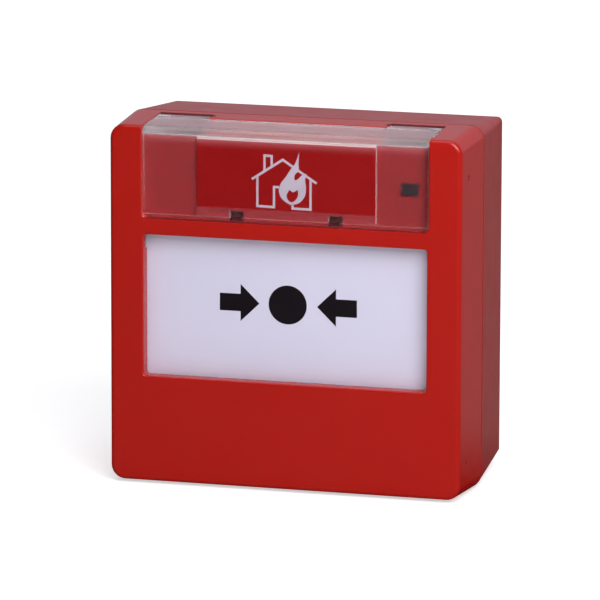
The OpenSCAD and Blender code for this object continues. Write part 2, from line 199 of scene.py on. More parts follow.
def evaluated(made):
    graph = bpy.context.evaluated_depsgraph_get()
    mesh = bpy.data.meshes.new_from_object(made.evaluated_get(graph), depsgraph=graph)
    made.modifiers.clear()
    old = made.data
    made.data = mesh
    bpy.data.meshes.remove(old)
    return made


def discard(made):
    mesh = made.data
    bpy.data.objects.remove(made)
    bpy.data.meshes.remove(mesh)


def carve(base, *steps):
    """Applies (operation, solid) pairs to base in turn: "-" cuts, "+" joins, "&" keeps what both hold."""
    names = {"-": "DIFFERENCE", "+": "UNION", "&": "INTERSECT"}
    for operation, tool in steps:
        modifier = base.modifiers.new("carve", "BOOLEAN")
        modifier.operation = names[operation]
        modifier.solver = "EXACT"
        modifier.object = tool
    evaluated(base)
    for _, tool in steps:
        discard(tool)
    return base


def tidy_mesh(made, merge=1e-3):
    bm = bmesh.new()
    bm.from_mesh(made.data)
    bmesh.ops.remove_doubles(bm, verts=bm.verts, dist=merge)
    bmesh.ops.dissolve_limit(bm, angle_limit=math.radians(0.5), verts=bm.verts, edges=bm.edges)
    bm.to_mesh(made.data)
    bm.free()
    return made


def round_edges(made, width, segments=3, angle=32, convex_only=True, pick=None):
    """Rounds the sharp edges. pick(middle of the edge) gives an edge's own width, as a share of width."""
    bm = bmesh.new()
    bm.from_mesh(made.data)
    layer = bm.edges.layers.float.new("bevel_weight_edge")
    for edge in bm.edges:
        if len(edge.link_faces) != 2 or edge.calc_face_angle() < math.radians(angle):
            continue
        if convex_only and not edge.is_convex:
            continue
        edge[layer] = 1.0 if pick is None else pick((edge.verts[0].co + edge.verts[1].co) / 2)
    bm.to_mesh(made.data)
    bm.free()
    modifier = made.modifiers.new("round", "BEVEL")
    modifier.limit_method = "WEIGHT"
    modifier.width = width
    modifier.segments = segments
    modifier.use_clamp_overlap = False
    modifier.miter_outer = "MITER_ARC"
    return evaluated(made)


def cut_planes(made, cuts, choose=None):
    """Adds edges where planes, given as (point, normal), cross the faces that choose(middle) accepts."""
    bm = bmesh.new()
    bm.from_mesh(made.data)
    for point, normal in cuts:
        faces = [face for face in bm.faces if choose is None or choose(face.calc_center_median())]
        edges = {edge for face in faces for edge in face.edges}
        verts = {vert for face in faces for vert in face.verts}
        bmesh.ops.bisect_plane(bm, geom=faces + list(edges) + list(verts), plane_co=point, plane_no=normal)
    bm.to_mesh(made.data)
    bm.free()


def paint_faces(made, choose):
    """Gives each face the material slot that choose(middle, normal) returns."""
    for face in made.data.polygons:
        face.material_index = choose(face.center, face.normal)


def piece(made, name, body, material, stands_for=(), angle=30, flat=False):
    """Finishes a shape: scaled to metres, smooth between sharp edges, on its CAD body."""
    made.name = name
    made.data.name = name
    made.data.transform(Matrix.Scale(MM, 4))
    bm = bmesh.new()
    bm.from_mesh(made.data)
    many_sided = [face for face in bm.faces if len(face.verts) > 4]
    bmesh.ops.triangulate(bm, faces=many_sided, ngon_method="BEAUTY")
    for edge in bm.edges:
        edge.smooth = len(edge.link_faces) == 2 and edge.calc_face_angle() < math.radians(angle)
    for face in bm.faces:
        face.smooth = not flat
    bm.to_mesh(made.data)
    bm.free()
    entries = material if isinstance(material, (list, tuple)) else [material]
    slots = [min(face.material_index, len(entries) - 1) for face in made.data.polygons]
    made.data.materials.clear()
    for entry in entries:
        made.data.materials.append(entry)
    made.data.polygons.foreach_set("material_index", slots)
    if not flat:
        weighted = made.modifiers.new("even shading", "WEIGHTED_NORMAL")
        weighted.keep_sharp = True
    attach(made, body)
    if stands_for:
        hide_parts(*stands_for)
    return made


# ---- materials ----

def add(tree, kind, **inputs):
    made = tree.nodes.new(kind)
    for key, value in inputs.items():
        made.inputs[key.replace("_", " ")].default_value = value
    return made


def noise(tree, coords, scale, detail=3.0, roughness=0.55):
    made = add(tree, "ShaderNodeTexNoise", Scale=scale, Detail=detail, Roughness=roughness)
    tree.links.new(coords, made.inputs["Vector"])
    return made.outputs["Fac"]


def ramp(tree, value, low, high, out_low, out_high):
    made = add(tree, "ShaderNodeMapRange")
    for key, number in (("From Min", low), ("From Max", high), ("To Min", out_low), ("To Max", out_high)):
        made.inputs[key].default_value = number
    tree.links.new(value, made.inputs["Value"])
    return made.outputs["Result"]


def mix(tree, factor, a, b):
    """Mixes two colours, each a tuple or an output."""
    made = tree.nodes.new("ShaderNodeMix")
    made.data_type = "RGBA"
    for socket, value in ((made.inputs[6], a), (made.inputs[7], b)):
        if isinstance(value, (tuple, list)):
            socket.default_value = (*value, 1)
        else:
            tree.links.new(value, socket)
    if isinstance(factor, float):
        made.inputs[0].default_value = factor
    else:
        tree.links.new(factor, made.inputs[0])
    return made.outputs[2]


def axes(tree, coords):
    """The X, Y and Z outputs of a place or a direction."""
    made = add(tree, "ShaderNodeSeparateXYZ")
    tree.links.new(coords, made.inputs[0])
    return made.outputs


def bump(tree, height, strength, distance):
    made = add(tree, "ShaderNodeBump", Strength=strength, Distance=distance)
    tree.links.new(height, made.inputs["Height"])
    return made.outputs["Normal"]


def start(name):
    made = bpy.data.materials.new(name)
    made.use_nodes = True
    tree = made.node_tree
    return made, tree, tree.nodes["Principled BSDF"], add(tree, "ShaderNodeTexCoord").outputs["Object"]


def fading(tree, coords, below, above, low, high):
    """Goes from one colour to another between two heights (mm), slowly at first."""
    share = ramp(tree, axes(tree, coords)["Z"], low * MM, high * MM, 0, 1)
    square = tree.nodes.new("ShaderNodeMath")
    square.operation = "MULTIPLY"
    tree.links.new(share, square.inputs[0])
    tree.links.new(share, square.inputs[1])
    return mix(tree, square.outputs[0], below, above)


def plastic(name, colour, rough=0.3, vary=0.03, skin=900, skin_depth=0.004, specular=0.5,
            cloud=45, spread=0.1, painted_bend_highlight=None):
    """Moulded plastic: faint clouding of the colour, slightly uneven gloss and a fine skin (depth in mm).

    The last argument gives a colour that it fades to, a painted highlight of the window's bend, and the
    heights where the fade starts and ends."""
    made, tree, shader, coords = start(name)
    clouds = noise(tree, coords, cloud, 3.0)
    light = tuple(min(1.0, c * (1 + vary)) for c in colour)
    dark = tuple(c * (1 - vary) for c in colour)
    body = mix(tree, ramp(tree, clouds, 0.3, 0.7, 0, 1), dark, light)
    if painted_bend_highlight:
        body = fading(tree, coords, body, *painted_bend_highlight)
    tree.links.new(body, shader.inputs["Base Color"])
    gloss = noise(tree, coords, cloud * 3, 3.0)
    tree.links.new(ramp(tree, gloss, 0.25, 0.75, rough * (1 - spread), rough * (1 + spread)),
                   shader.inputs["Roughness"])
    surface = noise(tree, coords, skin, 2.0)
    tree.links.new(bump(tree, surface, 1.0, skin_depth * MM), shader.inputs["Normal"])
    shader.inputs["Specular IOR Level"].default_value = specular
    return made


def banded(name, above, below, low, high, painted_bend_highlight, rough=0.35):
    """Printed card whose colour changes between two heights (mm) and fades higher up to a pale colour, a
    painted highlight of the window's bend.
    """
    made, tree, shader, coords = start(name)
    clouds = noise(tree, coords, 60, 3.0)
    upper = mix(tree, clouds, tuple(c * 0.96 for c in above), tuple(c * 1.04 for c in above))
    height = ramp(tree, axes(tree, coords)["Z"], low * MM, high * MM, 0, 1)
    print_colour = mix(tree, height, below, upper)
    tree.links.new(fading(tree, coords, print_colour, *painted_bend_highlight), shader.inputs["Base Color"])
    tree.links.new(ramp(tree, clouds, 0.3, 0.7, rough * 0.9, rough * 1.1), shader.inputs["Roughness"])
    grain = noise(tree, coords, 1500, 2.0)
    tree.links.new(bump(tree, grain, 1.0, 0.002 * MM), shader.inputs["Normal"])
    return made


def metal(name, colour, rough=0.3, brushed=(1, 1, 1), scale=900):
    """Bare or plated metal with fine drawn or turned lines along one axis."""
    made, tree, shader, coords = start(name)
    stretch = add(tree, "ShaderNodeVectorMath")
    stretch.operation = "MULTIPLY"
    stretch.inputs[1].default_value = brushed
    tree.links.new(coords, stretch.inputs[0])
    lines = noise(tree, stretch.outputs[0], scale, 3.0)
    dark = tuple(c * 0.8 for c in colour)
    tree.links.new(mix(tree, lines, dark, colour), shader.inputs["Base Color"])
    tree.links.new(ramp(tree, lines, 0.3, 0.7, rough * 0.8, rough * 1.2), shader.inputs["Roughness"])
    tree.links.new(bump(tree, lines, 1.0, 0.0008 * MM), shader.inputs["Normal"])
    shader.inputs["Metallic"].default_value = 0.8
    return made


def clear(name, tint, rough=0.04, through=0.975):
    """Clear plastic with slight ripples from moulding; what isn't let through is a faint haze."""
    made, tree, shader, coords = start(name)
    clouds = noise(tree, coords, 45, 3.0)
    lighter = tuple(min(1, c * 1.02) for c in tint)
    tree.links.new(mix(tree, clouds, tint, lighter), shader.inputs["Base Color"])
    shader.inputs["Transmission Weight"].default_value = through
    shader.inputs["Roughness"].default_value = rough
    shader.inputs["IOR"].default_value = 1.49
    ripple = noise(tree, coords, 160, 2.0)
    tree.links.new(bump(tree, ripple, 1.0, 0.003 * MM), shader.inputs["Normal"])
    return made


def striped(name, yellow, black, pitch=3.2, rough=0.35):
    """Diagonal warning stripes across X and Z, with a soft moulded skin."""
    made, tree, shader, coords = start(name)
    wave = add(tree, "ShaderNodeTexWave", Scale=0.314 / (pitch * MM * 1.414))
    wave.bands_direction = "DIAGONAL"
    tree.links.new(coords, wave.inputs["Vector"])
    edge = ramp(tree, wave.outputs["Fac"], 0.47, 0.53, 0, 1)
    grime = noise(tree, coords, 300, 3.0)
    worn = mix(tree, grime, tuple(c * 0.9 for c in yellow), yellow)
    tree.links.new(mix(tree, edge, black, worn), shader.inputs["Base Color"])
    tree.links.new(ramp(tree, grime, 0.3, 0.7, rough * 0.85, rough * 1.15), shader.inputs["Roughness"])
    surface = noise(tree, coords, 900, 2.0)
    tree.links.new(bump(tree, surface, 1.0, 0.004 * MM), shader.inputs["Normal"])
    return made


def laminate(name):
    """Green solder mask over copper tracks, with the weave of the board just showing."""
    made, tree, shader, coords = start(name)
    place = axes(tree, coords)
    flat = add(tree, "ShaderNodeCombineXYZ")
    tree.links.new(place["X"], flat.inputs["X"])
    tree.links.new(place["Z"], flat.inputs["Y"])
    tracks = add(tree, "ShaderNodeTexBrick", Scale=1.0)
    tracks.offset = 0.37
    tracks.offset_frequency = 3
    tracks.squash = 0.45
    tracks.squash_frequency = 4
    sizes = (("Mortar Size", 0.00011), ("Mortar Smooth", 0.2), ("Brick Width", 0.0193),
             ("Row Height", 0.00127))
    for key, value in sizes:
        tracks.inputs[key].default_value = value
    tree.links.new(flat.outputs[0], tracks.inputs["Vector"])
    weave = noise(tree, coords, 2500, 2.0)
    mask = mix(tree, weave, (0.010, 0.105, 0.035), (0.014, 0.135, 0.045))
    tree.links.new(mix(tree, tracks.outputs["Fac"], mask, (0.028, 0.185, 0.065)), shader.inputs["Base Color"])
    tree.links.new(ramp(tree, weave, 0.3, 0.7, 0.22, 0.34), shader.inputs["Roughness"])
    tree.links.new(bump(tree, tracks.outputs["Fac"], 1.0, 0.02 * MM), shader.inputs["Normal"])
    return made


red_cover = plastic("red_cover_plastic", (0.48, 0.0088, 0.0042), rough=0.24, vary=0.02)
# painted shade: the recess under the window is a darker copy of the cover red, for the light the window holds
# back
recess_painted_shade = plastic("red_recess_satin_painted_shade", (0.34, 0.019, 0.024), rough=0.6, vary=0.04, skin_depth=0.008,
                     specular=0.12, painted_bend_highlight=((0.52, 0.15, 0.165), 37.8, 40.6))
# painted shade: a darker, slightly greyer copy of the cover red under the window's leaf and in the hinge
# troughs
leaf_floor_painted_shade = plastic("red_leaf_floor_painted_shade", (0.33, 0.03, 0.038), rough=0.55, vary=0.04, skin_depth=0.008)
# painted shade: a dark copy of the cover red for the dimples, hook pockets, trough backs, pips and the
# window's hooks and lower edge
slot_painted_shade = plastic("red_slot_painted_shade", (0.14, 0.026, 0.033), rough=0.6, vary=0.1, specular=0.2)
red_box = plastic("red_box_plastic", (0.43, 0.0105, 0.007), rough=0.36, vary=0.03, skin_depth=0.008)
# painted highlight: the insert and the recess fade to a pale pink near the top, under the window's bend
deep_red = banded("insert_red", (0.34, 0.0045, 0.005), (0.36, 0.028, 0.036), 23.6, 24.2,
                  ((0.52, 0.14, 0.16), 37.6, 40.3))
core_and_painted_highlight = plastic("insert_core_and_painted_highlight", (0.78, 0.60, 0.60), rough=0.4)
label_white = plastic("label_film", (0.745, 0.725, 0.90), rough=0.5, vary=0.012, skin=2500, skin_depth=0.002)
print_black = plastic("print_black", (0.0085, 0.004, 0.0085), rough=0.45, vary=0.1)
symbol_pale = plastic("symbol_print", (0.62, 0.56, 0.66), rough=0.45)
glazing = clear("clear_window_plastic", (0.93, 0.91, 0.92), through=1.0)
frosting = clear("frosted_window_plastic", (0.93, 0.90, 0.92), rough=0.34, through=0.99)
haze = clear("hazy_window_plastic", (0.93, 0.90, 0.92), rough=0.34, through=0.92)
smoked = plastic("smoked_lens_plastic", (0.035, 0.02, 0.025), rough=0.2, vary=0.1)
pane_white = plastic("pane_plastic", (0.80, 0.79, 0.84), rough=0.4)
chassis_white = plastic("chassis_plastic", (0.70, 0.70, 0.68), rough=0.42, skin_depth=0.006)
carrier_grey = plastic("carrier_plastic", (0.60, 0.60, 0.60), rough=0.4, skin_depth=0.006)
switch_black = plastic("switch_plastic", (0.022, 0.022, 0.024), rough=0.38, vary=0.12)
chip_black = plastic("chip_moulding", (0.03, 0.03, 0.032), rough=0.55, vary=0.12, skin=4000, skin_depth=0.006)
plunger_red = plastic("plunger_plastic", (0.55, 0.04, 0.02), rough=0.35)
terminal_green = plastic("terminal_plastic", (0.04, 0.26, 0.13), rough=0.4, vary=0.05)
dial_grey = plastic("dial_body_plastic", (0.60, 0.60, 0.58), rough=0.42)
dial_orange = plastic("dial_plastic", (0.78, 0.26, 0.03), rough=0.36)
barrel_black = plastic("barrel_plastic", (0.09, 0.09, 0.095), rough=0.38, vary=0.1)
can_blue = plastic("capacitor_sleeve", (0.02, 0.035, 0.16), rough=0.3)
part_tan = plastic("component_body", (0.33, 0.25, 0.15), rough=0.4, vary=0.1)
led_red = plastic("led_epoxy", (0.70, 0.06, 0.035), rough=0.15)
silk_white = plastic("board_legend", (0.80, 0.80, 0.76), rough=0.6)
flag_paint = striped("flag_stripes", (0.86, 0.60, 0.02), (0.02, 0.02, 0.02))
board_green = laminate("board_laminate")
zinc = metal("zinc_plate", (0.78, 0.77, 0.74), rough=0.42, brushed=(1, 6, 1))
spring_metal = metal("spring_steel", (0.72, 0.72, 0.73), rough=0.38, brushed=(1, 1, 5))
tinned = metal("tinned_copper", (0.82, 0.81, 0.78), rough=0.42)
gold_pad = metal("gold_pads", (0.88, 0.66, 0.32), rough=0.38)


# ---- front cover ----

CORNER_R = 3.4
EDGE_R = 1.1
SEAM_GAP = 0.3
COVER_REAR = COVER_DEPTH - SEAM_GAP / 2
OPENING = (34.5, 17, -0.25)  # half width, half height and height of the centre
WINDOW_HALF = 34.65
RECESS_HALF = WINDOW_HALF + 0.25
RECESS_LOW = 20.65
TOP_FLOOR = 40.42
HINGE_S = 13.6
HINGE_Z = 41.653
EAR_X = 22
HOOK_X = 12
POCKET_HALF = 1.65  # half width of the pockets and slots for the window's hooks
PIP_X = 21.1
PIP_S = 14.2
TROUGH_REAR = 15.9
KEY_S = 12.6
DIMPLE_S = 6
DIMPLE_Z = (33.2, -34.5)


def at_hooks(half, s0, s1, low, high):
    """Blocks at the window's two hooks, from s0 to s1 behind the face."""
    return [block((side * HOOK_X - half, at(s0), low), (side * HOOK_X + half, at(s1), high))
            for side in SIDES]


def cover_rings():
    """Outlines of the cover's outer shape, from its rounded face to its rear edge."""
    rings = []
    for i in range(9):
        a = math.radians(90 * i / 8)
        s = EDGE_R * (1 - math.cos(a))
        inset = EDGE_R * (1 - math.sin(a))
        half = cover_half(s) - inset
        rings.append([(x, at(s), z) for x, z in rounded_rect(half, half, CORNER_R - inset)])
    for s, inset in ((COVER_REAR - 0.14, 0), (COVER_REAR - 0.05, 0.03), (COVER_REAR, 0.12)):
        half = cover_half(s) - inset
        rings.append([(x, at(s), z) for x, z in rounded_rect(half, half, CORNER_R - inset)])
    return rings


def front_cover():
    cavity_rings = []
    for s, inset in ((WALL, 0.8), (WALL + 0.24, 0.24), (WALL + 0.8, 0), (COVER_REAR + 1, 0)):
        half = cover_half(s) - WALL - inset
        cavity_rings.append([(x, at(s), z) for x, z in rounded_rect(half, half, 2.0 - inset / 2)])
    under = HINGE_Z - 3.5
    bed = prism_x([(at(-1), RECESS_LOW), (at(4.6), RECESS_LOW), (at(4.6), under), (at(COVER_REAR), under),
                   (at(COVER_REAR), 46), (at(-1), 46)], -36.9, 36.9)
    cavity = carve(loft(cavity_rings), ("-", bed))
    half_w, half_h, mid = OPENING
    rim = prism_y(rounded_rect(half_w + 1.2, 15.775, 0.8, (0, -2.675)), at(WALL - 0.01), at(WALL + 1.2))
    lip = 0.5
    opening_rings = [[(x, at(-1), z) for x, z in rounded_rect(half_w + lip, half_h + lip, 1.3, (0, mid))]]
    for i in range(7):
        b = math.radians(90 - 15 * i)
        grow = lip * (1 - math.cos(b))
        s = lip * (1 - math.sin(b))
        outline = rounded_rect(half_w + grow, half_h + grow, 0.8 + grow, (0, mid))
        opening_rings.append([(x, at(s), z) for x, z in outline])
    opening_rings.append([(x, at(6), z) for x, z in rounded_rect(half_w, half_h, 0.8, (0, mid))])
    recess = prism_y(rounded_rect(RECESS_HALF, 15, 1.5, (0, RECESS_LOW + 15)), at(-1), at(3))
    ledge = block((-33.2, at(1.5), RECESS_LOW - 0.1), (33.2, at(3.2), 21.4))
    top = cover_half(11)
    leaf = prism_x([(at(-1), TOP_FLOOR), (at(11.5), TOP_FLOOR), (at(11.5), top - 0.5), (at(13), top + 1),
                    (at(-1), 46)], -RECESS_HALF, RECESS_HALF)
    hollow = [(at(11), TOP_FLOOR + 1), (at(11), HINGE_Z - 1.9), (at(TROUGH_REAR), HINGE_Z - 1.9),
              (at(TROUGH_REAR), 46), (at(11), 46)]
    troughs = [prism_x(hollow, *sorted((side * 21.75, side * RECESS_HALF))) for side in SIDES]
    pockets = at_hooks(POCKET_HALF, 1.3, 4.35, 20.9, 23.1)
    pips = [rod(0.42, (side * PIP_X, at(PIP_S), 42), (side * PIP_X, at(PIP_S), 45), "Z", 20)
            for side in SIDES]
    lens_seat = block((27.7, at(2), 28.95), (31.9, at(7), 31.85))
    bores = [rod(0.8, (side * 34, at(HINGE_S), HINGE_Z), (side * 37.9, at(HINGE_S), HINGE_Z), "X", 24)
             for side in SIDES]
    key_hole = rod(3.8, (0, at(KEY_S), -45), (0, at(KEY_S), -39), "Z")
    dimples = [rod(0.6, (side * 42.4, at(DIMPLE_S), z), (side * 45, at(DIMPLE_S), z), "X", 20)
               for side in SIDES for z in DIMPLE_Z]
    lugs = [block((side * 25 - 4, at(COVER_REAR - 0.5), 39), (side * 25 + 4, at(COVER_REAR + 3.2), 40.7))
            for side in SIDES]
    shell = carve(loft(cover_rings()), ("-", cavity), ("+", rim), *[("+", lug) for lug in lugs])
    carve(shell, ("-", loft(opening_rings)), ("-", recess), ("+", ledge), ("-", leaf),
          *[("-", tool) for tool in troughs + pockets + pips + [lens_seat, key_hole] + bores + dimples])
    tidy_mesh(shell)

    def share(middle):
        """Rounds the face's edges more than the edges at the top's slots."""
        if middle.z > 40 and middle.y > at(10):
            return 0.1
        return 1.0 if middle.y < at(1.2) or middle.z > 41 else 0.6

    def in_trough(middle):
        across = 21.7 < abs(middle.x) < RECESS_HALF + 0.02
        return across and at(11.4) < middle.y < at(TROUGH_REAR + 0.05) and middle.z > 39

    def in_dimple(middle):
        near_z = min(abs(middle.z - z) for z in DIMPLE_Z) < 0.62
        return near_z and abs(middle.x) > 42.3 and abs(middle.y - at(DIMPLE_S)) < 0.55

    def finish(middle, normal):
        """Satin red darkened as painted shade in the recess under the window and on the leaf's floor; dark
        red as painted shade in the dimples, hook pockets, hinge slots and pips.
        """
        if in_dimple(middle):
            return 2
        inside = abs(middle.x) < RECESS_HALF + 0.02 and middle.z > RECESS_LOW - 0.1 and middle.y < at(16)
        if not inside:
            return 0
        if in_trough(middle) and middle.y > at(15.1) and middle.z < cover_half(15) - 0.1:
            return 2
        if abs(abs(middle.x) - HOOK_X) < 1.7 and 20.8 < middle.z < 23.2 and middle.y > at(1.2):
            return 2
        if abs(abs(middle.x) - PIP_X) < 0.45 and abs(middle.y - at(PIP_S)) < 0.45:
            return 2
        if normal.z > 0.9 and 40 < middle.z < TOP_FLOOR + 0.1 or in_trough(middle):
            return 3
        faces_out = normal.y < -0.5 or normal.z > 0.9
        if faces_out and at(0.6) < middle.y < at(3.2) and middle.z < TOP_FLOOR + 0.1:
            return 1
        return 0

    round_edges(shell, 0.28, segments=3, pick=share)
    cut_planes(shell, [((0, at(15.2), 0), (0, 1, 0)), ((0, 0, 42.7), (0, 0, 1))], in_trough)
    paint_faces(shell, finish)
    return piece(shell, "cover_shell", "cover", [red_cover, recess_painted_shade, slot_painted_shade, leaf_floor_painted_shade], ["front_cover"])


# ---- back box ----

SCREW_AT = 34.5


def back_box():
    front = SEAM_Y + SEAM_GAP / 2

    def ring(y, inset, radius):
        half = box_half(y) - inset
        return [(x, y, z) for x, z in rounded_rect(half, half, radius)]

    outer = loft([ring(front, 0.12, 3.3), ring(front + 0.05, 0.03, 3.37), ring(front + 0.14, 0, 3.4),
                  ring(-0.6, 0, 1.2), ring(-0.2, 0.12, 1.15), ring(-0.01, 0.5, 1.0)])
    cavity = loft([ring(front - 1, WALL, 2.0), ring(-3.2, WALL, 1.4), ring(-2.4, WALL + 0.8, 1.0)])
    places = [(sx * SCREW_AT, sz * SCREW_AT) for sx, sz in CORNERS]
    bosses = [rod(3.5, (x, -24.2, z), (x, -2.3, z), "Y") for x, z in places]
    holes = [rod(1.25, (x, -25, z), (x, -12, z), "Y", 24) for x, z in places]
    wall_holes = [rod(2.25, (side * 30, -4, 0), (side * 30, 1, 0), "Y", 32) for side in SIDES]
    cable = rod(10.2, (0, -4, 0), (0, 1, 0), "Y", 64)
    tilt = math.atan(BOX_DRAFT / BOX_DEPTH)
    middle = -BOX_DEPTH / 2
    seat = Matrix.Translation((0, middle, -box_half(middle))) @ Matrix.Rotation(tilt, 4, "X")
    knockout = turned([(9.4, -1), (10.2, -1), (10.2, 1.3), (9.4, 1.3)], (0, 0, 0), "Z", 72)
    pry_slot = block((-3, -0.6, -1), (3, 0.6, 0.8))
    for tool in (knockout, pry_slot):
        tool.data.transform(seat)
    # an inner lip that closes the seam at the sides and the bottom
    lip = loft([ring(SEAM_Y - 1.4, WALL + 0.3, 1.9), ring(front + 0.3, WALL + 0.3, 1.9),
                ring(front + 0.3, WALL - 0.3, 1.9), ring(-24, WALL - 0.3, 1.9)])
    lip_inside = loft([ring(SEAM_Y - 3, WALL + 1.2, 1.6), ring(-20, WALL + 1.2, 1.6)])
    carve(lip, ("-", lip_inside), ("-", block((-50, -40, 33), (50, 0, 50))))
    # a tongue that fills the seam along the top and round its corners
    tongue = loft([ring(front - 0.28, 0.06, 3.34), ring(front + 0.3, 0.06, 3.34)])
    carve(tongue, ("-", loft([ring(front - 1, 1.2, 2.4), ring(front + 1, 1.2, 2.4)])),
          ("-", block((-50, -40, -50), (50, 0, 37))))
    # shallow pockets in the back, inside a flat border
    pockets = [prism_y(rounded_rect(10, 10.5, 2, (sx * 25, sz * 24)), -0.4, 1) for sx, sz in CORNERS]
    pockets += [prism_y(rounded_rect(10, 6, 2, (0, sz * 27)), -0.4, 1) for sz in SIDES]
    shell = carve(outer, ("-", cavity), *[("+", boss) for boss in bosses], ("+", lip), ("+", tongue))
    carve(shell, *[("-", tool) for tool in holes + wall_holes + [cable, knockout, pry_slot] + pockets])
    tidy_mesh(shell)
    round_edges(shell, 0.2, segments=2)
    return piece(shell, "box_shell", "housing", red_box, ["back_box"])


# ---- window ----

FROST_X = 21.8  # the inner face is frosted beyond this
FROST_Z = 23.9  # and below this


def window():
    t = 2.0
    top_front = cover_half(2)
    outline = [(at(0), 20.9), (at(0), top_front - 2)]
    for i in range(9):
        a = math.radians(180 - 90 * i / 8)
        outline.append((at(2) + 2 * math.cos(a), top_front - 2 + 2 * math.sin(a)))
    outline += [(at(HINGE_S), cover_half(HINGE_S)), (at(HINGE_S), cover_half(HINGE_S) - t)]
    for i in range(5):
        a = math.radians(90 + 90 * i / 4)
        outline.append((at(t) + 0.4 + 0.4 * math.cos(a), cover_half(t) - t - 0.4 + 0.4 * math.sin(a)))
    outline += [(at(t), 21.7), (at(t - 0.8), 21.7), (at(t - 0.8), 20.9)]
    sheet = prism_x(outline, -WINDOW_HALF, WINDOW_HALF)
    front = prism_y(rounded_rect(WINDOW_HALF + 0.001, 15, 1.3, (0, 35.899)), at(-1), at(20))
    gap = prism_y(rounded_rect(EAR_X, 6, 1.0, (0, 41)), at(11), at(20))
    ears = [rod(1.6, (side * EAR_X, at(HINGE_S), HINGE_Z), (side * WINDOW_HALF, at(HINGE_S), HINGE_Z), "X")
            for side in SIDES]
    hooks = at_hooks(1.35, 1.0, 3.6, 21, 22)
    bores = [rod(0.85, (side * 32.1, at(HINGE_S), HINGE_Z), (side * 36, at(HINGE_S), HINGE_Z), "X", 24)
             for side in SIDES]
    carve(sheet, ("&", front), ("-", gap),
          *[("+", tool) for tool in ears + hooks], *[("-", tool) for tool in bores])
    tidy_mesh(sheet)
    round_edges(sheet, 0.16, segments=3, pick=lambda middle: 0 if middle.y > at(0.9) and middle.z < 24 else 1)
    cuts = [((side * FROST_X, 0, 0), (1, 0, 0)) for side in SIDES]
    cut_planes(sheet, cuts + [((0, 0, FROST_Z), (0, 0, 1))])

    def is_hook(middle):
        return abs(abs(middle.x) - HOOK_X) < 1.4 and middle.z < 22.1 and middle.y > at(1.25)

    def finish(middle, normal):
        """Frosted inside at the sides and low down, hazy under the leaf, opaque dark red as painted shade at
        the hooks and lower edge.
        """
        if middle.z > 40 and middle.y > at(1.9) and normal.z < 0.3 and (normal.z < -0.3 or middle.y > at(10)):
            return 2
        if middle.z < 21.1 and normal.z < -0.2 or is_hook(middle):
            return 3
        inner = middle.y > at(0.9) and middle.y < at(10) and (normal.y > 0.5 or normal.z < -0.5)
        return 1 if inner and (abs(middle.x) > FROST_X or middle.z < FROST_Z) else 0

    paint_faces(sheet, finish)
    made = piece(sheet, "window_glazing", "window", [glazing, frosting, haze, slot_painted_shade], ["clear_window"],
                 angle=15)
    made.visible_shadow = False
    return made


# ---- flat prints ----

def print_on(outlines, y, thickness=0.03, holes=()):
    """Thin raised ink from (x, z) outlines, its front at y - thickness."""
    bm = bmesh.new()
    for outline in [*outlines, *holes]:
        verts = [bm.verts.new((x, y, z)) for x, z in outline]
        for a, b in zip(verts, verts[1:] + verts[:1]):
            bm.edges.new((a, b))
    bmesh.ops.triangle_fill(bm, use_beauty=True, use_dissolve=False, edges=bm.edges[:])
    faces = bmesh.ops.extrude_face_region(bm, geom=bm.faces[:])
    moved = [v for v in faces["geom"] if isinstance(v, bmesh.types.BMVert)]
    bmesh.ops.translate(bm, verts=moved, vec=(0, -thickness, 0))
    return to_object(bm)


def stroke(points, width):
    """Outline of a polyline drawn with that width, with mitred joints."""
    left, right = [], []
    for i, p in enumerate(points):
        p = Vector(p)
        before = (p - Vector(points[i - 1])).normalized() if i else None
        after = (Vector(points[i + 1]) - p).normalized() if i + 1 < len(points) else None
        before = before or after
        after = after or before
        tangent = (before + after).normalized()
        normal = Vector((-tangent.y, tangent.x))
        reach = width / 2 / max(0.3, normal.dot(Vector((-before.y, before.x))))
        left.append(tuple(p + normal * reach))
        right.append(tuple(p - normal * reach))
    return left + right[::-1]


def bezier(points, steps=10):
    """Closed smooth outline through the points (Catmull-Rom); a point listed twice makes a cusp."""
    out = []
    n = len(points)
    for i in range(n):
        p0, p1, p2, p3 = (Vector(points[(i + k) % n]) for k in (-1, 0, 1, 2))
        if (p2 - p1).length < 1e-6:
            continue
        for k in range(steps):
            t = k / steps
            out.append(tuple(0.5 * ((2 * p1) + (p2 - p0) * t + (2 * p0 - 5 * p1 + 4 * p2 - p3) * t * t
                                    + (3 * p1 - p0 - 3 * p2 + p3) * t ** 3)))
    return out


def label():
    low, high = box_mm("pane_label")
    outline = rounded_rect((high.x - low.x) / 2, (high.z - low.z) / 2, 1.0, (0, (low.z + high.z) / 2))
    film = prism_y(outline, low.y, high.y)
    round_edges(film, 0.05, segments=2)
    piece(film, "label_film", "pane", label_white, ["pane_label"])
    shapes = [circle(4.65, (-0.12, 1.02), 72)]
    tail, neck, tip, middle, shaft, head = 16.75, 11.65, 7.05, 0.98, 2.08, 4.45
    for side in SIDES:
        shapes.append([(side * x, z) for x, z in (
            (tail, middle - shaft), (neck, middle - shaft), (neck, middle - head), (tip, middle),
            (neck, middle + head), (neck, middle + shaft), (tail, middle + shaft))])
    ink = print_on(shapes, low.y, 0.03)
    piece(ink, "label_marks", "pane", print_black, ())


SYMBOL_X = -0.4
RIM = 0.65  # height of the insert's upper band in the core colour: its bare core on the edges, and on the face a painted highlight of the window's bend
